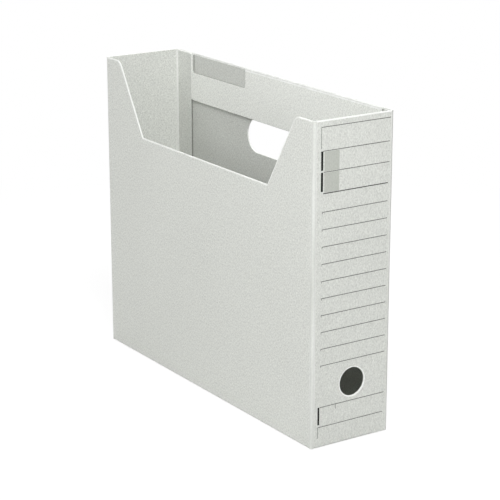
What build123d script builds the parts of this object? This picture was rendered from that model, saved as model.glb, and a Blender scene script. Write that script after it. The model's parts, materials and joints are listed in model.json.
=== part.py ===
from build123d import *
import os

os.makedirs("parts", exist_ok=True)

# An open-top file box folded from one creased sheet of board.
# The origin is the middle of the base, +Z is up, +X is the spine that carries the label field,
# -Y is the near side with the dipped edge and +Y is the far side with the hand hole.

# Overall size, over the outside of the board
length = 318.0
width = 76.0
height = 265.0

# Board and its folds
board = 1.2
fold_inside = 1.2
base_fold_inside = 0.4
hem_fold_inside = 0.1
layer_gap = 0.1

# Dip in the near side
dip_depth = 62.0
dip_top_inset = 24.3
dip_bottom_inset = 62.5
dip_round = 9.0
dip_corner_round = 1.5

# Finger hole in the spine, from the middle of the base
finger_hole_diameter = 23.6
finger_hole_y = 1.3
finger_hole_z = 49.7

# Hand hole in the far side
hand_hole_length = 88.0
hand_hole_height = 30.0
hand_hole_below_top = 56.7

# Glue flap, which is stuck to the inside of the far side
glue_flap_width = 22.6
glue_flap_bottom = 14.0
glue_flap_taper = 6.0
glue_flap_below_top = 0.6
seam_setback = 1.6

# Hem, which is folded in over the top of the far side
hem_depth = 43.3
hem_seam_gap = 0.6
hem_side_gap = 0.2
hem_spine_gap = 9.8
hem_corner = 1.6
notch_setback = 3.0
notch_length = 84.5
notch_depth = 17.2
notch_round = 2.5

# Base flaps
near_flap_middle_gap = 1.4
far_flap_wall_gap = 5.2
dust_flap_tip = 6.0
flap_round = 3.0
flap_side_gap = 2.0
corner_lift = 0.3
foot_gap = 0.4

# Cuts at the flaps' ends: where each starts along the fold, and how far it runs back per unit of depth
near_mitre_start = 0.5
near_mitre_slope = 0.6
dust_mitre_start = 0.5
dust_mitre_slope = 1.7
wall_cut_start = 1.5
wall_cut_slope = 0.77
pack_cut_start = 12.5
pack_cut_slope = 0.74
under_cut_start = 3.5
under_cut_slope = 1.65

# Lines that the folds turn on
fold_outside = fold_inside + board
base_fold_outside = base_fold_inside + board
hem_fold_outside = hem_fold_inside + board
fold_x = length / 2 - fold_outside
fold_y = width / 2 - fold_outside
seam_y = fold_y - board
base_x = length / 2 - base_fold_outside
base_y = width / 2 - base_fold_outside
base_z = base_fold_outside
far_base_under = board + layer_gap
far_base_z = far_base_under + base_fold_outside
hem_y = width / 2 - board - hem_fold_inside
hem_z = height - hem_fold_outside

# Feet of the spine and the end: the stretch beside each dust flap where the wall itself runs down
foot_length = pack_cut_start - foot_gap
foot_middle = fold_y - foot_length / 2
foot_height = base_z - corner_lift
foot_z = (base_z + corner_lift) / 2

# Stretches along the far side's top
glue_right = -fold_x + glue_flap_width
hem_left = glue_right + hem_seam_gap
hem_right = fold_x - hem_spine_gap
notch_left = hem_left + notch_setback
notch_right = notch_left + notch_length
hem_fold_stretches = {
    "hem_leg_fold": (hem_left, notch_left),
    "hem_fold": (notch_right, hem_right),
}


def fold_section(fold_line, start_angle, turn, inside):
    with BuildSketch(mode=Mode.PRIVATE) as section:
        with BuildLine():
            outer = CenterArc(fold_line, inside + board, start_angle, turn)
            inner = CenterArc(fold_line, inside, start_angle, turn)
            Line(outer @ 0, inner @ 0)
            Line(outer @ 1, inner @ 1)
        make_face()
    return section.sketch


def save(piece, name):
    piece.part.label = name
    export_step(piece.part, f"parts/{name}.step")


# Near side: a tall panel whose top edge dips between two ears
dip_top = length / 2 - dip_top_inset
dip_bottom = length / 2 - dip_bottom_inset
dip_floor = height - dip_depth
with BuildPart() as near_side:
    with BuildSketch(Plane.XZ.offset(width / 2)) as near_outline:
        with BuildLine():
            Polyline(
                (-fold_x, base_z),
                (fold_x, base_z),
                (fold_x, height),
                (dip_top, height),
                (dip_bottom, dip_floor),
                (-dip_bottom, dip_floor),
                (-dip_top, height),
                (-fold_x, height),
                close=True,
            )
        make_face()
        ears = near_outline.vertices().group_by(Axis.Y)[-1].sort_by(Axis.X)
        fillet(ears[1:3], radius=dip_round)
        fillet(near_outline.vertices().group_by(Axis.Y)[1], radius=dip_corner_round)
    extrude(amount=-board)
save(near_side, "near_side_panel")

# Spine: the narrow panel with the finger hole
with BuildPart() as spine:
    with BuildSketch(Plane.YZ.offset(length / 2)):
        with Locations((0, (base_z + height) / 2)):
            Rectangle(2 * fold_y, height - base_z)
        with Locations((foot_middle, foot_z)):
            Rectangle(foot_length, foot_height)
        with Locations((finger_hole_y, finger_hole_z)):
            Circle(finger_hole_diameter / 2, mode=Mode.SUBTRACT)
    extrude(amount=-board)
save(spine, "spine_panel")

# Far side: full height, with the hand hole, and lower where the hem's fold sits on its edge
far_left = -length / 2 + seam_setback
with BuildPart() as far_side:
    with BuildSketch(Plane.XZ.offset(-width / 2)):
        with Locations(((far_left + fold_x) / 2, (far_base_z + height) / 2)):
            Rectangle(fold_x - far_left, height - far_base_z)
        for left, right in hem_fold_stretches.values():
            with Locations(((left + right) / 2, height)):
                Rectangle(right - left + 2 * hem_side_gap, 2 * hem_fold_outside, mode=Mode.SUBTRACT)
        with Locations((0, height - hand_hole_below_top)):
            SlotOverall(hand_hole_length, hand_hole_height, mode=Mode.SUBTRACT)
    extrude(amount=board)
save(far_side, "far_side_panel")

# End: the narrow panel opposite the spine
with BuildPart() as end:
    with BuildSketch(Plane.YZ.offset(-length / 2)):
        with Locations(((seam_y - fold_y) / 2, (base_z + height) / 2)):
            Rectangle(fold_y + seam_y, height - base_z)
        with Locations((-foot_middle, foot_z)):
            Rectangle(foot_length, foot_height)
    extrude(amount=board)
save(end, "end_panel")

# Glue flap: it turns off the end panel and lies on the inside of the far side
glue_top = height - glue_flap_below_top
with BuildPart() as glue_flap:
    with BuildSketch(Plane.XZ.offset(board - width / 2)):
        with BuildLine():
            Polyline(
                (-fold_x, glue_flap_bottom),
                (glue_right, glue_flap_bottom + glue_flap_taper),
                (glue_right, glue_top),
                (-fold_x, glue_top),
                close=True,
            )
        make_face()
    extrude(amount=board)
save(glue_flap, "glue_flap")

# Hem: it doubles the far side's top edge down to the hand hole, with a long notch at its fold
hem_bottom = height - hem_depth
with BuildPart() as hem:
    with BuildSketch(Plane.XZ.offset(hem_fold_inside - hem_y)) as hem_outline:
        with Locations(((hem_left + hem_right) / 2, (hem_bottom + hem_z) / 2)):
            Rectangle(hem_right - hem_left, hem_z - hem_bottom)
        chamfer(hem_outline.vertices().group_by(Axis.Y)[0], length=hem_corner)
        with BuildSketch(mode=Mode.SUBTRACT) as notch:
            with Locations(((notch_left + notch_right) / 2, height)):
                Rectangle(notch_length, 2 * notch_depth)
            fillet(notch.vertices(), radius=notch_round)
    extrude(amount=board)
save(hem, "top_hem")

# Near base flap: half of the floor's outer layer, with both ends cut back clear of the dust flaps
near_flap_edge = -near_flap_middle_gap
near_flap_depth = base_y + near_flap_edge
with BuildPart() as near_base:
    with BuildSketch() as near_flap_outline:
        with BuildLine():
            Polyline(
                (wall_cut_start - fold_x, -base_y),
                (fold_x - near_mitre_start, -base_y),
                (fold_x - near_mitre_start - near_mitre_slope * near_flap_depth, near_flap_edge),
                (wall_cut_start + wall_cut_slope * near_flap_depth - fold_x, near_flap_edge),
                close=True,
            )
        make_face()
        fillet(near_flap_outline.vertices().group_by(Axis.Y)[-1], radius=flap_round)
    extrude(amount=board)
save(near_base, "near_base_flap")

# Far base flap: the wide floor panel that the files stand on, over the other three flaps
far_flap_edge = board + far_flap_wall_gap - width / 2
far_flap_depth = base_y - far_flap_edge
far_flap_left = -length / 2 + board + flap_side_gap
with BuildPart() as far_base:
    with BuildSketch(Plane.XY.offset(far_base_under)) as far_flap_outline:
        with BuildLine():
            Polyline(
                (far_flap_left, base_y),
                (fold_x - wall_cut_start, base_y),
                (fold_x - wall_cut_start - wall_cut_slope * far_flap_depth, far_flap_edge),
                (far_flap_left, far_flap_edge),
                close=True,
            )
        make_face()
        fillet(far_flap_outline.vertices().group_by(Axis.Y)[0], radius=flap_round)
    extrude(amount=board)
save(far_base, "far_base_flap")

# The dust flaps run in until their two cut edges leave only the tip between them
dust_flap_cuts = dust_mitre_start + under_cut_start
dust_flap_slope = dust_mitre_slope + under_cut_slope

# One of those edges bends: by the fold it keeps out of the corner, where the folded walls leave no room
dust_bend_depth = (pack_cut_start - under_cut_start) / (under_cut_slope - pack_cut_slope)
dust_bend_inset = pack_cut_start + pack_cut_slope * dust_bend_depth

# Spine dust flap: its far edge runs back steeply, so that it folds up under the wide floor panel
spine_flap_depth = (2 * fold_y - dust_flap_cuts - dust_flap_tip) / dust_flap_slope
spine_flap_tip = base_x - spine_flap_depth
with BuildPart() as spine_base:
    with BuildSketch() as spine_flap_outline:
        with BuildLine():
            Polyline(
                (base_x, dust_mitre_start - fold_y),
                (base_x, fold_y - pack_cut_start),
                (base_x - dust_bend_depth, fold_y - dust_bend_inset),
                (spine_flap_tip, fold_y - under_cut_start - under_cut_slope * spine_flap_depth),
                (spine_flap_tip, dust_mitre_start + dust_mitre_slope * spine_flap_depth - fold_y),
                close=True,
            )
        make_face()
        fillet(spine_flap_outline.vertices().group_by(Axis.X)[0], radius=flap_round)
    extrude(amount=board)
save(spine_base, "spine_dust_flap")

# End dust flap: the same, turned round, with its steep edge towards the near side
end_flap_depth = (fold_y + seam_y - dust_flap_cuts - dust_flap_tip) / dust_flap_slope
end_flap_tip = end_flap_depth - base_x
with BuildPart() as end_base:
    with BuildSketch() as end_flap_outline:
        with BuildLine():
            Polyline(
                (-base_x, pack_cut_start - fold_y),
                (dust_bend_depth - base_x, dust_bend_inset - fold_y),
                (end_flap_tip, under_cut_start + under_cut_slope * end_flap_depth - fold_y),
                (end_flap_tip, seam_y - dust_mitre_start - dust_mitre_slope * end_flap_depth),
                (-base_x, seam_y - dust_mitre_start),
                close=True,
            )
        make_face()
        fillet(end_flap_outline.vertices().group_by(Axis.X)[-1], radius=flap_round)
    extrude(amount=board)
save(end_base, "end_dust_flap")

# Upright folds: quarter rounds between the four walls and the glue flap
upright_folds = {
    "near_spine_fold": ((fold_x, -fold_y), 270),
    "spine_far_fold": ((fold_x, fold_y), 0),
    "near_end_fold": ((-fold_x, -fold_y), 180),
    "end_glue_fold": ((-fold_x, seam_y), 90),
}
for name, (fold_line, start_angle) in upright_folds.items():
    with BuildPart() as upright_fold:
        with BuildSketch(Plane.XY.offset(corner_lift)):
            add(fold_section(fold_line, start_angle, 90, fold_inside))
        extrude(amount=height - corner_lift)
    save(upright_fold, name)

# Base folds along the two long walls, each as long as its flap's edge
long_base_folds = {
    "near_base_fold": ((-base_y, base_z), 180, wall_cut_start - fold_x, fold_x - near_mitre_start),
    "far_base_fold": ((base_y, far_base_z), 270, far_flap_left, fold_x - wall_cut_start),
}
for name, (fold_line, start_angle, left, right) in long_base_folds.items():
    with BuildPart() as long_base_fold:
        with BuildSketch(Plane.YZ.offset(left)):
            add(fold_section(fold_line, start_angle, 90, base_fold_inside))
        extrude(amount=right - left)
    save(long_base_fold, name)

# Base folds along the spine and the end, between the wall's foot and the next corner
short_base_folds = {
    "spine_base_fold": ((base_x, base_z), 270, dust_mitre_start - fold_y, fold_y - pack_cut_start),
    "end_base_fold": ((-base_x, base_z), 180, pack_cut_start - fold_y, seam_y - dust_mitre_start),
}
for name, (fold_line, start_angle, front, back) in short_base_folds.items():
    with BuildPart() as short_base_fold:
        with BuildSketch(Plane.XZ.offset(-back)):
            add(fold_section(fold_line, start_angle, 90, base_fold_inside))
        extrude(amount=back - front)
    save(short_base_fold, name)

# Hem folds: half rounds over the far side's top edge, on either side of the notch
for name, (left, right) in hem_fold_stretches.items():
    with BuildPart() as hem_fold:
        with BuildSketch(Plane.YZ.offset(left)):
            add(fold_section((hem_y, hem_z), 0, 180, hem_fold_inside))
        extrude(amount=right - left)
    save(hem_fold, name)
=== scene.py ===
import json
import math

import bpy
from mathutils import Matrix, Vector


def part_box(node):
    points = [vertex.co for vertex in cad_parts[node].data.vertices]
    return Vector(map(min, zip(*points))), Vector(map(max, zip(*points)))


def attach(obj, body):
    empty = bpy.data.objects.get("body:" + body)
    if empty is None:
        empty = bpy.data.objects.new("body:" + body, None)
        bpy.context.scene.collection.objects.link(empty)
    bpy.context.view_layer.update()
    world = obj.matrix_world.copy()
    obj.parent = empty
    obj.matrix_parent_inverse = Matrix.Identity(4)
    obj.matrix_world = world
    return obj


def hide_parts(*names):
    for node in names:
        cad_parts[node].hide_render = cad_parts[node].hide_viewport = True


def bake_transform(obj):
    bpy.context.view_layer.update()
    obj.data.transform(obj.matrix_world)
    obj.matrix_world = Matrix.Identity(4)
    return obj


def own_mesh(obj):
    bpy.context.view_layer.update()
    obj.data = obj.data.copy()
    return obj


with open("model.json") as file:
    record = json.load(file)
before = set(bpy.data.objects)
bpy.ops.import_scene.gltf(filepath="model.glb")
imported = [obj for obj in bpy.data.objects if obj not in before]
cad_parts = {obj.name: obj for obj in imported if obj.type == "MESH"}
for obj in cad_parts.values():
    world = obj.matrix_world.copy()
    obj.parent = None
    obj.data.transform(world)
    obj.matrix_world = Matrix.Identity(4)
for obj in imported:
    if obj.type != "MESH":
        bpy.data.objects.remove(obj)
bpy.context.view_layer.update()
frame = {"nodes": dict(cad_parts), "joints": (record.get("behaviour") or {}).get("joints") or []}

mm = 0.001
weldWithin = 0.001 * mm
axes = "xyz"
jointLines = {joint["name"]: Vector(joint["pos_m"]) for joint in frame["joints"]}
nearLow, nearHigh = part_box("near_side_panel")
boardThickness = nearHigh.y - nearLow.y
print("frame loaded:", len(frame["nodes"]), "nodes, board", round(boardThickness / mm, 2), "mm")


# colours are written as they look on screen, 0 to 255
def tone(red, green, blue):
    linear = []
    for channel in (red, green, blue):
        share = channel / 255
        linear.append(share / 12.92 if share <= 0.04045 else ((share + 0.055) / 1.055) ** 2.4)
    return (*linear, 1.0)


# board grain, shared by every board and ink material
boardGrain = {
    "Fibre": {"scale": 1500.0, "detail": 3.0, "amount": 0.06},     # about 0.7 mm
    "Mottle": {"scale": 760.0, "detail": 2.0, "amount": 0.04},     # about 1.3 mm
    "Cloud": {"scale": 11.0, "detail": 1.0, "amount": 0.03},       # slow drift over a whole panel
}
boardSurface = {
    "fibreStretch": (1.0, 1.0, 0.45),
    "roughness": (0.66, 0.86),
    "fibreRelief": 0.6,
    "relief": 0.35,
    "reliefDepth": 0.06 * mm,
    "gloss": 0.22,
}


def makeGrainGroup():
    group = bpy.data.node_groups.new("boardGrain", "ShaderNodeTree")
    face = group.interface
    face.new_socket("Tone", in_out="INPUT", socket_type="NodeSocketColor")
    for name, grain in boardGrain.items():
        socket = face.new_socket(name, in_out="INPUT", socket_type="NodeSocketFloat")
        socket.default_value = grain["amount"]
    face.new_socket("Color", in_out="OUTPUT", socket_type="NodeSocketColor")
    face.new_socket("Roughness", in_out="OUTPUT", socket_type="NodeSocketFloat")
    face.new_socket("Height", in_out="OUTPUT", socket_type="NodeSocketFloat")
    nodes, links = group.nodes, group.links
    given = nodes.new("NodeGroupInput")
    result = nodes.new("NodeGroupOutput")
    place = nodes.new("ShaderNodeTexCoord")
    stretch = nodes.new("ShaderNodeMapping")
    stretch.inputs["Scale"].default_value = boardSurface["fibreStretch"]
    links.new(place.outputs["Object"], stretch.inputs["Vector"])

    noises = {}
    for name, grain in boardGrain.items():
        noise = nodes.new("ShaderNodeTexNoise")
        noise.inputs["Scale"].default_value = grain["scale"]
        noise.inputs["Detail"].default_value = grain["detail"]
        source = stretch.outputs[0] if name == "Fibre" else place.outputs["Object"]
        links.new(source, noise.inputs["Vector"])
        noises[name] = noise

    # brightness = 1 + sum of (noise - 0.5) * amount
    total = None
    for name, noise in noises.items():
        centred = nodes.new("ShaderNodeMath")
        centred.operation = "SUBTRACT"
        centred.inputs[1].default_value = 0.5
        links.new(noise.outputs["Fac"], centred.inputs[0])
        weighted = nodes.new("ShaderNodeMath")
        weighted.operation = "MULTIPLY_ADD"
        weighted.inputs[2].default_value = 1.0
        links.new(centred.outputs[0], weighted.inputs[0])
        links.new(given.outputs[name], weighted.inputs[1])
        if total is not None:
            links.new(total.outputs[0], weighted.inputs[2])
        total = weighted
    shaded = nodes.new("ShaderNodeVectorMath")
    shaded.operation = "SCALE"
    links.new(given.outputs["Tone"], shaded.inputs[0])
    links.new(total.outputs[0], shaded.inputs["Scale"])
    links.new(shaded.outputs[0], result.inputs["Color"])

    rough = nodes.new("ShaderNodeMapRange")
    rough.inputs["To Min"].default_value, rough.inputs["To Max"].default_value = boardSurface["roughness"]
    links.new(noises["Mottle"].outputs["Fac"], rough.inputs["Value"])
    links.new(rough.outputs[0], result.inputs["Roughness"])
    relief = nodes.new("ShaderNodeMath")
    relief.operation = "MULTIPLY_ADD"
    relief.inputs[1].default_value = boardSurface["fibreRelief"]
    links.new(noises["Fibre"].outputs["Fac"], relief.inputs[0])
    links.new(noises["Mottle"].outputs["Fac"], relief.inputs[2])
    links.new(relief.outputs[0], result.inputs["Height"])
    return group


# wear along a fold: the skin of the board is stretched and goes paler in streaks
foldWear = {"streakScale": 260.0, "detail": 3.0, "along": (1.0, 1.0, 0.05), "ramp": (0.34, 0.62)}


def makeWearGroup():
    group = bpy.data.node_groups.new("foldWear", "ShaderNodeTree")
    face = group.interface
    face.new_socket("Tone", in_out="INPUT", socket_type="NodeSocketColor")
    face.new_socket("Worn Tone", in_out="INPUT", socket_type="NodeSocketColor")
    face.new_socket("Color", in_out="OUTPUT", socket_type="NodeSocketColor")
    nodes, links = group.nodes, group.links
    given = nodes.new("NodeGroupInput")
    result = nodes.new("NodeGroupOutput")
    place = nodes.new("ShaderNodeTexCoord")
    stretch = nodes.new("ShaderNodeMapping")
    stretch.inputs["Scale"].default_value = foldWear["along"]
    streak = nodes.new("ShaderNodeTexNoise")
    streak.inputs["Scale"].default_value = foldWear["streakScale"]
    streak.inputs["Detail"].default_value = foldWear["detail"]
    ramp = nodes.new("ShaderNodeValToRGB")
    for element, position in zip(ramp.color_ramp.elements, foldWear["ramp"]):
        element.position = position
    mix = nodes.new("ShaderNodeMix")
    mix.data_type = "RGBA"
    links.new(place.outputs["Object"], stretch.inputs["Vector"])
    links.new(stretch.outputs[0], streak.inputs["Vector"])
    links.new(streak.outputs["Fac"], ramp.inputs["Fac"])
    links.new(ramp.outputs["Color"], mix.inputs["Factor"])
    links.new(given.outputs["Tone"], mix.inputs["A"])
    links.new(given.outputs["Worn Tone"], mix.inputs["B"])
    links.new(mix.outputs["Result"], result.inputs["Color"])
    return group


grainGroup = makeGrainGroup()
wearGroup = makeWearGroup()


def boardMaterial(name, look):
    material = bpy.data.materials.new(name)
    material.use_nodes = True
    nodes, links = material.node_tree.nodes, material.node_tree.links
    shader = nodes["Principled BSDF"]
    shader.inputs["Specular IOR Level"].default_value = look.get("gloss", boardSurface["gloss"])
    grain = nodes.new("ShaderNodeGroup")
    grain.node_tree = grainGroup
    grain.inputs["Tone"].default_value = tone(*look["tone"])
    for amount in boardGrain:
        if amount.lower() in look:
            grain.inputs[amount].default_value = look[amount.lower()]
    if "worn" in look:
        wear = nodes.new("ShaderNodeGroup")
        wear.node_tree = wearGroup
        wear.inputs["Tone"].default_value = tone(*look["tone"])
        wear.inputs["Worn Tone"].default_value = tone(*look["worn"])
        links.new(wear.outputs["Color"], grain.inputs["Tone"])
    bump = nodes.new("ShaderNodeBump")
    bump.inputs["Strength"].default_value = look.get("relief", boardSurface["relief"])
    bump.inputs["Distance"].default_value = boardSurface["reliefDepth"]
    links.new(grain.outputs["Color"], shader.inputs["Base Color"])
    links.new(grain.outputs["Roughness"], shader.inputs["Roughness"])
    links.new(grain.outputs["Height"], bump.inputs["Height"])
    links.new(bump.outputs["Normal"], shader.inputs["Normal"])
    return material


boardLooks = {
    "boardPrinted": {"tone": (214, 216, 211), "fibre": 0.60, "mottle": 0.66, "cloud": 0.05},
    "spinePrinted": {"tone": (211, 213, 208), "fibre": 0.66, "mottle": 0.40, "cloud": 0.05, "relief": 0.5},
    # the hem's printed face is the same board as boardPrinted, painted paler: painted light on the hem
    "hemPrintedPaintedLight": {"tone": (232, 234, 229), "fibre": 0.60, "mottle": 0.66, "cloud": 0.05},
    "boardInside": {"tone": (203, 205, 200), "fibre": 0.62, "mottle": 0.68, "cloud": 0.05, "relief": 0.5},
    # the end panel's and glue flap's insides: the same board as boardInside, painted paler: painted light in
    # that corner
    "insidePaintedLight": {"tone": (211, 213, 208), "fibre": 0.62, "mottle": 0.68, "cloud": 0.05, "relief": 0.5},
    # foldEdge is also the painted highlight on end_glue_fold's inner bead
    "foldEdge": {"tone": (212, 214, 209), "worn": (224, 225, 222), "fibre": 0.30, "mottle": 0.30},
    "cutEdge": {"tone": (226, 228, 224), "worn": (243, 244, 241), "fibre": 0.20, "mottle": 0.20},
    # spineEdge's near-white also serves as the painted highlight along the hem's top by its fold
    "spineEdge": {"tone": (240, 241, 238), "worn": (251, 252, 250), "fibre": 0.12, "mottle": 0.12},
    "hemEdge": {"tone": (211, 213, 209), "worn": (218, 220, 216), "fibre": 0.20, "mottle": 0.20},
    "boardCut": {"tone": (226, 228, 224), "fibre": 0.20, "mottle": 0.16, "relief": 0.6},
    # the hem's cut edges: the same cut board as boardCut, painted darker: painted shade
    "hemCutPaintedShade": {"tone": (158, 160, 155), "fibre": 0.20, "mottle": 0.16, "relief": 0.6},
    # the glue flap's cut edge: painted dark, a painted shadow of the seam between the flap and the far wall
    "glueFlapCutPaintedShade": {"tone": (134, 136, 131), "fibre": 0.20, "mottle": 0.16, "relief": 0.6},
    "foldPrinted": {"tone": (201, 203, 198), "worn": (213, 215, 211), "fibre": 0.20, "mottle": 0.20},
    "foldInside": {"tone": (196, 198, 193), "worn": (212, 214, 210), "fibre": 0.20, "mottle": 0.20},
    "inkGrey": {"tone": (112, 114, 110), "fibre": 0.30, "mottle": 0.12, "gloss": 0.3},
    "inkDark": {"tone": (68, 70, 66), "fibre": 0.25, "mottle": 0.12, "gloss": 0.3},
    "inkBlack": {"tone": (22, 24, 21), "fibre": 0.25, "mottle": 0.10, "gloss": 0.3},
    "inkTint": {"tone": (184, 187, 180), "fibre": 0.30, "mottle": 0.26},
}
finish = {name: boardMaterial(name, look) for name, look in boardLooks.items()}
print("materials:", len(finish))


def editOnly(piece):
    if bpy.context.object and bpy.context.object.mode != "OBJECT":
        bpy.ops.object.mode_set(mode="OBJECT")
    bpy.ops.object.select_all(action="DESELECT")
    piece.select_set(True)
    bpy.context.view_layer.objects.active = piece


def setSlots(piece, names):
    piece.data.materials.clear()
    for name in names:
        piece.data.materials.append(finish[name])


# panels and flaps: printed is the way the sheet's printed face looks,
# creases are the sides left square for a fold, and paleTop is a paler strip along the top
outerSlot, innerSlot, cutSlot, foldSlot, wornSlot = range(5)
sheetPanels = {
    "near_side_panel": {"body": "near_side", "printed": (0, -1, 0), "creases": ("-x", "+x", "-z")},
    "spine_panel": {"body": "spine", "printed": (1, 0, 0), "creases": ("-y", "+y", "spine_base_fold"),
                    "outer": "spinePrinted", "worn": "spineEdge"},
    "far_side_panel": {"body": "far_side", "printed": (0, 1, 0), "creases": ("+x", "-z", "hem"),
                       "paleTop": {"of": (innerSlot,), "deep": 1.6 * mm, "slot": wornSlot}},  # in the notch
    "end_panel": {"body": "end", "printed": (-1, 0, 0), "creases": ("-y", "+y", "end_base_fold"),
                  "inner": "insidePaintedLight"},
    "glue_flap": {"body": "far_side", "printed": (0, 1, 0), "creases": ("-x",), "inner": "insidePaintedLight",
                  "cut": "glueFlapCutPaintedShade",
                  "paleTop": {"of": (cutSlot,), "deep": 42 * mm, "slot": wornSlot}},  # beside the hem its cut edge keeps the pale cutEdge tone; below the hem it is painted shade
    "top_hem": {"body": "hem", "printed": (0, -1, 0), "creases": ("+z",), "outer": "hemPrintedPaintedLight",
                "cut": "hemCutPaintedShade", "fold": "spineEdge", "worn": "hemPrintedPaintedLight",
                "paleTop": {"of": (outerSlot, wornSlot), "deep": 1.2 * mm, "slot": foldSlot}},  # by its fold: a painted highlight along its top
    "near_base_flap": {"body": "near_base", "printed": (0, 0, -1), "creases": ("-y",)},
    "far_base_flap": {"body": "far_base", "printed": (0, 0, -1), "creases": ("+y",)},
    "spine_dust_flap": {"body": "spine_base", "printed": (0, 0, -1), "creases": ("+x",)},
    "end_dust_flap": {"body": "end_base", "printed": (0, 0, -1), "creases": ("-x",)},
}
rim = {
    "width": 0.32 * mm,
    "segments": 2,
    "joinWithin": math.radians(0.5),
    "creaseWithin": 0.01 * mm,
    "sharpFrom": math.radians(30),
    "smoothTo": math.radians(20),
    "flatWithin": 0.98,        # leaves the rounded rim out of the flat faces
    "wornBand": 0.7 * mm,      # paler strip of the printed face along its cuts and upright folds
    "plainBelow": 4 * mm,      # and none of it along the floor
}


def creasePlane(node, side):
    if side == "hem":
        return axes.index("z"), jointLines["hem_crease"].z
    if side in frame["nodes"]:                                     # a base fold shorter than its wall
        return axes.index("z"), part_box(side)[1][2]
    low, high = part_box(node)
    axis = axes.index(side[1])
    return axis, (high if side[0] == "+" else low)[axis]


def slotFacing(facing, within):
    return outerSlot if facing > within else innerSlot if facing < -within else cutSlot


def pickFaces(piece, slots):
    for part in (piece.data.vertices, piece.data.edges):
        part.foreach_set("select", [False] * len(part))
    for face in piece.data.polygons:
        face.select = face.material_index in slots


def makePanel(node, look):
    piece = bpy.data.objects.new("sheet_" + node, frame["nodes"][node].data.copy())
    bpy.context.collection.objects.link(piece)
    editOnly(piece)
    bpy.ops.mesh.customdata_custom_splitnormals_clear()
    bpy.ops.object.mode_set(mode="EDIT")
    bpy.ops.mesh.select_all(action="SELECT")
    bpy.ops.mesh.remove_doubles(threshold=weldWithin)
    bpy.ops.mesh.dissolve_limited(angle_limit=rim["joinWithin"])
    bpy.ops.mesh.select_mode(type="EDGE")
    bpy.ops.mesh.select_all(action="DESELECT")
    bpy.ops.mesh.edges_select_sharp(sharpness=rim["sharpFrom"])
    bpy.ops.object.mode_set(mode="OBJECT")

    # edges that run into a fold keep their square corner
    planes = [creasePlane(node, side) for side in look["creases"]]
    points = [vertex.co.copy() for vertex in piece.data.vertices]
    rounded = piece.data.attributes.new("bevel_weight_edge", "FLOAT", "EDGE")
    for edge in piece.data.edges:
        ends = [points[index] for index in edge.vertices]
        byCrease = any(all(abs(end[axis] - level) < rim["creaseWithin"] for end in ends)
                       for axis, level in planes)
        rounded.data[edge.index].value = float(edge.select and not byCrease)
    rounding = piece.modifiers.new("rim", "BEVEL")
    rounding.limit_method = "WEIGHT"
    rounding.width = rim["width"]
    rounding.segments = rim["segments"]
    bpy.ops.object.modifier_apply(modifier="rim")

    setSlots(piece, (look.get("outer", "boardPrinted"), look.get("inner", "boardInside"),
                     look.get("cut", "boardCut"), look.get("fold", "foldEdge"), look.get("worn", "cutEdge")))
    printed = Vector(look["printed"])
    for face in piece.data.polygons:
        face.material_index = slotFacing(face.normal.dot(printed), rim["flatWithin"])
    pickFaces(piece, () if printed.z else (outerSlot,))            # the base flaps stay plain
    bpy.ops.object.mode_set(mode="EDIT")
    bpy.ops.mesh.select_mode(type="FACE")
    bpy.ops.mesh.inset(thickness=rim["wornBand"], use_boundary=True, use_even_offset=True)
    bpy.ops.object.mode_set(mode="OBJECT")
    upright = [(axis, level) for axis, level in planes if axes[axis] != "z"]
    for face in piece.data.polygons:
        inBand = face.material_index == outerSlot and not face.select and not printed.z
        if inBand and face.center.z > rim["plainBelow"]:
            byFold = any(abs(face.center[axis] - level) < rim["wornBand"] for axis, level in upright)
            face.material_index = foldSlot if byFold else wornSlot
    if "paleTop" in look:
        strip = look["paleTop"]
        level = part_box(node)[1][2] - strip["deep"]
        pickFaces(piece, strip["of"])
        bpy.ops.object.mode_set(mode="EDIT")
        bpy.ops.mesh.bisect(plane_co=(0, 0, level), plane_no=(0, 0, 1))
        bpy.ops.object.mode_set(mode="OBJECT")
        for face in piece.data.polygons:
            if face.material_index in strip["of"] and face.center.z > level:
                face.material_index = strip["slot"]
    editOnly(piece)
    bpy.ops.object.shade_smooth_by_angle(angle=rim["smoothTo"])
    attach(piece, look["body"])
    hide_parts(node)


for node, look in sheetPanels.items():
    makePanel(node, look)
print("panels:", len(sheetPanels))

# folds: a strip of board that turns from one panel to the next
sheetFolds = {
    "near_spine_fold": {"between": ("near_side", "spine"), "start": (0, -1, 0), "side": (1, 0, 0)},
    "spine_far_fold": {"between": ("spine", "far_side"), "start": (1, 0, 0), "side": (0, 1, 0)},
    "near_end_fold": {"between": ("near_side", "end"), "start": (0, -1, 0), "side": (-1, 0, 0)},
    "end_glue_fold": {"rides": "end", "start": (-1, 0, 0), "side": (0, 1, 0),
                      "flattens": "end_corner", "keep": 0.1,
                      # its inner face takes the paler foldEdge instead of foldInside: a painted highlight
                      # along the crease's inner bead
                      "inner": "foldEdge"},
    "near_base_fold": {"between": ("near_side", "near_base"), "start": (0, -1, 0), "side": (0, 0, -1)},
    "far_base_fold": {"between": ("far_side", "far_base"), "start": (0, 1, 0), "side": (0, 0, -1)},
    "spine_base_fold": {"between": ("spine", "spine_base"), "start": (1, 0, 0), "side": (0, 0, -1)},
    "end_base_fold": {"between": ("end", "end_base"), "start": (-1, 0, 0), "side": (0, 0, -1)},
    "hem_fold": {"between": ("far_side", "hem"), "start": (0, 1, 0), "side": (0, 0, 1), "turn": 180,
                 "outer": "hemEdge"},
    "hem_leg_fold": {"between": ("far_side", "hem"), "start": (0, 1, 0), "side": (0, 0, 1), "turn": 180,
                     "outer": "hemEdge"},
}
foldShape = {"steps": 12, "facingWithin": 0.7}
creaseBead = {"rise": 0.55 * mm, "half": math.radians(24)}     # the scored ridge inside a quarter-round fold


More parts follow.
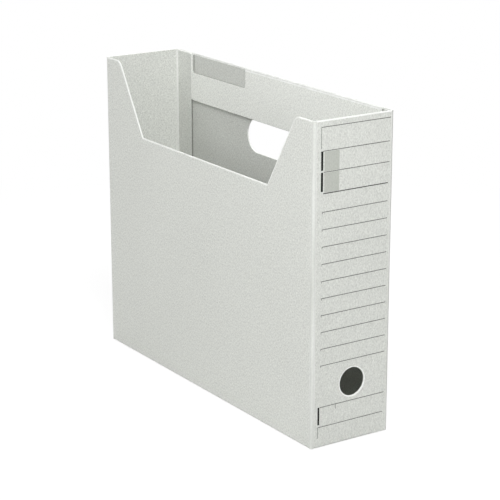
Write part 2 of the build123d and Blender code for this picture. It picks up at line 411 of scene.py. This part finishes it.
def foldFrame(node, look):
    low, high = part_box(node)
    start, side = Vector(look["start"]), Vector(look["side"])
    along = start.cross(side)
    sideAxis = [abs(value) for value in side].index(1)
    startAxis = [abs(value) for value in start].index(1)
    alongAxis = 3 - sideAxis - startAxis
    outer = high[sideAxis] - low[sideAxis]
    line = Vector((0, 0, 0))
    line[sideAxis] = low[sideAxis] if side[sideAxis] > 0 else high[sideAxis]
    line[startAxis] = high[startAxis] - outer if start[startAxis] > 0 else low[startAxis] + outer
    line[alongAxis] = (low[alongAxis] + high[alongAxis]) / 2
    return line, start, side, along, outer, high[alongAxis] - low[alongAxis]


def makeFold(node, look):
    line, start, side, along, outer, length = foldFrame(node, look)
    middle = outer - boardThickness / 2
    turn = math.radians(look.get("turn", 90))
    bpy.ops.object.select_all(action="DESELECT")
    bpy.ops.mesh.primitive_plane_add(size=1)
    piece = bpy.context.object
    piece.name = "sheet_" + node
    piece.matrix_world = (Matrix.Translation(line + start * middle)
                          @ Matrix((start, along, start.cross(along))).transposed().to_4x4()
                          @ Matrix.Diagonal((boardThickness, length, 1, 1)))
    bpy.ops.object.transform_apply(location=True, rotation=True, scale=True)
    bpy.ops.object.mode_set(mode="EDIT")
    bpy.ops.mesh.select_all(action="SELECT")
    bpy.ops.mesh.spin(steps=foldShape["steps"], angle=turn, center=line,
                      axis=-along)                                  # it turns against its axis
    bpy.ops.mesh.select_all(action="SELECT")
    bpy.ops.mesh.remove_doubles(threshold=weldWithin)
    bpy.ops.mesh.normals_make_consistent(inside=False)
    bpy.ops.mesh.select_mode(type="VERT")
    bpy.ops.mesh.select_all(action="DESELECT")
    bpy.ops.object.mode_set(mode="OBJECT")
    inward = -(start + side).normalized()
    for vertex in piece.data.vertices:
        out = vertex.co - line
        out -= along * out.dot(along)
        nearMiddle = out.length > 0 and out.angle(-inward) < creaseBead["half"]
        vertex.select = "turn" not in look and nearMiddle and out.length < middle
    bpy.ops.object.mode_set(mode="EDIT")
    bpy.ops.transform.translate(value=inward * creaseBead["rise"])
    bpy.ops.object.mode_set(mode="OBJECT")

    setSlots(piece, (look.get("outer", "foldPrinted"), look.get("inner", "foldInside"), "boardCut"))
    for face in piece.data.polygons:
        out = face.center - line
        out -= along * out.dot(along)
        facing = face.normal.dot(out.normalized())
        face.material_index = slotFacing(facing, foldShape["facingWithin"])
    editOnly(piece)
    bpy.ops.object.shade_smooth_by_angle(angle=rim["smoothTo"])
    if "rides" in look:
        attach(piece, look["rides"])
        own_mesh(piece)
    else:
        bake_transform(piece)
    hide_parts(node)


for node, look in sheetFolds.items():
    makeFold(node, look)
print("folds:", len(sheetFolds))

# label field on the spine, in millimetres from the spine's near edge and from the base
labelField = {
    "ink": 0.03,
    "lift": 0.004,
    "round": 0.18,
    "roundSegments": 2,
    "rule": 0.60,
    "fineRule": 0.45,
    "tick": 1.5,
    "ruleSpan": (8.3, 71.1),
    "firstRule": 193.3,
    "rulePitch": 13.84,
    "ruleCount": 10,
}
headLines = {                       # height, left end, right end
    "top": (259.7, 6.8, 72.7),
    "second": (241.1, 8.7, 71.9),
    "third": (224.6, 9.4, 72.2),
    "footTop": (34.0, 8.2, 71.5),
    "footLow": (17.4, 6.4, 70.5),
}
heavyRule = {"height": 207.9, "left": 9.0, "right": 71.0, "thickness": 0.75}
uprights = {                        # place across, lower end, upper end
    "headLeft": (7.0, 243.1, 259.7),
    "footTick": (23.4, 29.9, 34.0),
    "footLeft": (6.2, 8.1, 17.6),
}
indexBars = {                       # left, right, lower, upper
    "upperBar": (6.8, 8.8, 226.0, 241.0),
    "lowerBar": (6.8, 8.8, 209.5, 224.6),
    "footBar": (6.1, 7.8, 19.4, 34.2),
}
tintBlocks = {                      # left, right, lower, upper
    "upperTint": (10.0, 24.0, 225.2, 240.5),
    "lowerTint": (10.0, 24.0, 208.5, 224.0),
}
spineLow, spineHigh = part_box("near_spine_fold")[0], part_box("spine_far_fold")[1]


def inkMark(left, right, lower, upper):
    bpy.ops.object.select_all(action="DESELECT")
    bpy.ops.mesh.primitive_plane_add(size=1)
    mark = bpy.context.object
    mark.matrix_world = (Matrix.Translation((spineHigh.x + labelField["lift"] * mm,
                                             spineLow.y + (left + right) / 2 * mm,
                                             (lower + upper) / 2 * mm))
                         @ Matrix(((0, 0, 1), (1, 0, 0), (0, 1, 0))).to_4x4()
                         @ Matrix.Diagonal(((right - left) * mm, (upper - lower) * mm, 1, 1)))
    bpy.ops.object.transform_apply(location=True, rotation=True, scale=True)
    bpy.ops.object.mode_set(mode="EDIT")
    bpy.ops.mesh.select_all(action="SELECT")
    bpy.ops.mesh.bevel(offset=labelField["round"] * mm, segments=labelField["roundSegments"],
                       affect="VERTICES", clamp_overlap=True)
    bpy.ops.mesh.select_all(action="SELECT")
    bpy.ops.mesh.extrude_region_move(TRANSFORM_OT_translate={"value": (labelField["ink"] * mm, 0, 0)})
    bpy.ops.mesh.select_all(action="SELECT")
    bpy.ops.mesh.normals_make_consistent(inside=False)
    bpy.ops.object.mode_set(mode="OBJECT")
    return mark


def printPiece(name, marks, ink):
    bpy.ops.object.select_all(action="DESELECT")
    for mark in marks:
        mark.select_set(True)
    bpy.context.view_layer.objects.active = marks[0]
    bpy.ops.object.join()
    piece = bpy.context.object
    piece.name = name
    setSlots(piece, (ink,))
    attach(piece, "spine")


def ruleAt(height, left, right, thickness):
    return inkMark(left, right, height - thickness / 2, height + thickness / 2)


fineLines = [ruleAt(height, left, right, labelField["rule"]) for height, left, right in headLines.values()]
fineLines += [inkMark(across - labelField["fineRule"] / 2, across + labelField["fineRule"] / 2, lower, upper)
              for across, lower, upper in uprights.values()]
for count in range(labelField["ruleCount"]):
    height = labelField["firstRule"] - count * labelField["rulePitch"]
    left, right = labelField["ruleSpan"]
    fineLines.append(ruleAt(height, left, right, labelField["rule"]))
    fineLines.append(inkMark(left, left + labelField["fineRule"], height - labelField["tick"], height))
printPiece("label_rules", fineLines, "inkGrey")
printPiece("label_heavy_rule", [ruleAt(**heavyRule)], "inkDark")
printPiece("label_bars", [inkMark(*bar) for bar in indexBars.values()], "inkBlack")
printPiece("label_tints", [inkMark(*block) for block in tintBlocks.values()], "inkTint")
print("label field printed")

# stage: a pale floor that runs out to white, soft light from the front right
stageLook = {
    "floorSize": 12.0,
    "floorDrop": 0.2 * mm,     # keeps it off the base flaps' faces
    "floorTone": (205, 205, 204),
    "floorShade": 0.24,
    "floorGlow": 0.76,
    "fadeFrom": 0.30,          # metres from the middle, where the floor starts to run out to white
    "fadeTo": 0.75,
    "worldLight": 0.21,
}


# 1 where the camera sees the surface, straight, mirrored or through glass
def seenRays(nodes, links):
    path = nodes.new("ShaderNodeLightPath")
    seen = path.outputs["Is Camera Ray"]
    for ray in ("Is Glossy Ray", "Is Transmission Ray"):
        either = nodes.new("ShaderNodeMath")
        either.operation = "MAXIMUM"
        links.new(seen, either.inputs[0])
        links.new(path.outputs[ray], either.inputs[1])
        seen = either.outputs[0]
    return seen


def makeFloor():
    bpy.ops.object.select_all(action="DESELECT")
    bpy.ops.mesh.primitive_plane_add(size=stageLook["floorSize"], location=(0, 0, -stageLook["floorDrop"]))
    floor = bpy.context.object
    floor.name = "floor"
    material = bpy.data.materials.new("paleFloor")
    material.use_nodes = True
    nodes, links = material.node_tree.nodes, material.node_tree.links
    nodes.remove(nodes["Principled BSDF"])
    plain = nodes.new("ShaderNodeBsdfDiffuse")
    plain.inputs["Color"].default_value = tone(*stageLook["floorTone"])
    soft = nodes.new("ShaderNodeBsdfDiffuse")
    soft.inputs["Color"].default_value = (stageLook["floorShade"],) * 3 + (1.0,)
    glow = nodes.new("ShaderNodeEmission")
    glow.inputs["Strength"].default_value = stageLook["floorGlow"]
    both = nodes.new("ShaderNodeAddShader")
    white = nodes.new("ShaderNodeEmission")
    place = nodes.new("ShaderNodeTexCoord")
    reach = nodes.new("ShaderNodeVectorMath")
    reach.operation = "LENGTH"
    fade = nodes.new("ShaderNodeMapRange")
    fade.interpolation_type = "SMOOTHSTEP"
    fade.inputs["From Min"].default_value = stageLook["fadeFrom"]
    fade.inputs["From Max"].default_value = stageLook["fadeTo"]
    paled = nodes.new("ShaderNodeMixShader")
    mix = nodes.new("ShaderNodeMixShader")
    links.new(soft.outputs[0], both.inputs[0])
    links.new(glow.outputs[0], both.inputs[1])
    links.new(seenRays(nodes, links), mix.inputs["Fac"])
    links.new(plain.outputs[0], mix.inputs[1])
    links.new(place.outputs["Object"], reach.inputs[0])
    links.new(reach.outputs["Value"], fade.inputs["Value"])
    links.new(fade.outputs[0], paled.inputs["Fac"])
    links.new(both.outputs[0], paled.inputs[1])
    links.new(white.outputs[0], paled.inputs[2])
    links.new(paled.outputs[0], mix.inputs[2])
    links.new(mix.outputs[0], nodes["Material Output"].inputs["Surface"])
    floor.data.materials.append(material)


def makeWorld(strength):
    world = bpy.data.worlds.new("studio")
    bpy.context.scene.world = world
    world.use_nodes = True
    nodes, links = world.node_tree.nodes, world.node_tree.links
    level = nodes.new("ShaderNodeMapRange")
    level.inputs["To Min"].default_value = strength
    level.inputs["To Max"].default_value = 1.0
    links.new(seenRays(nodes, links), level.inputs["Value"])
    links.new(level.outputs[0], nodes["Background"].inputs["Strength"])
    nodes["Background"].inputs["Color"].default_value = (1, 1, 1, 1)


def softBox(name, look):
    bpy.ops.object.light_add(type="AREA", location=look["place"])
    lamp = bpy.context.object
    lamp.name = name
    lamp.data.size = look["size"]
    lamp.data.energy = look["watts"]
    lamp.rotation_euler = (Vector(look["aim"]) - Vector(look["place"])).to_track_quat("-Z", "Y").to_euler()


softBoxes = {
    "keyBox": {"place": (0.86, -0.46, 1.31), "aim": (0.0, 0.0, 0.15), "size": 0.8, "watts": 23.6},
    "frontBox": {"place": (0.10, -1.40, 0.80), "aim": (0.0, 0.0, 0.15), "size": 1.0, "watts": 6.0},
    "backBox": {"place": (-0.90, 0.90, 1.00), "aim": (0.0, 0.0, 0.15), "size": 0.8, "watts": 14.0},
}
makeFloor()
makeWorld(stageLook["worldLight"])
for name, look in softBoxes.items():
    softBox(name, look)

cameraView = {
    "azimuth": 56.39,
    "elevation": 16.63,
    "distance": 1.518,
    "aim": (0.0151, 0.0, 0.1228),
    "lens": 129.3,
    "sensor": 36.0,
}
turned, raised = math.radians(cameraView["azimuth"]), math.radians(cameraView["elevation"])
back = Vector((math.sin(turned) * math.cos(raised), -math.cos(turned) * math.cos(raised), math.sin(raised)))
bpy.ops.object.camera_add(location=Vector(cameraView["aim"]) + back * cameraView["distance"])
camera = bpy.context.object
camera.rotation_euler = (-back).to_track_quat("-Z", "Y").to_euler()
camera.data.sensor_width = cameraView["sensor"]
camera.data.lens = cameraView["lens"]
bpy.context.scene.camera = camera
bpy.context.scene.view_settings.view_transform = "Standard"
print("stage, light and camera set")
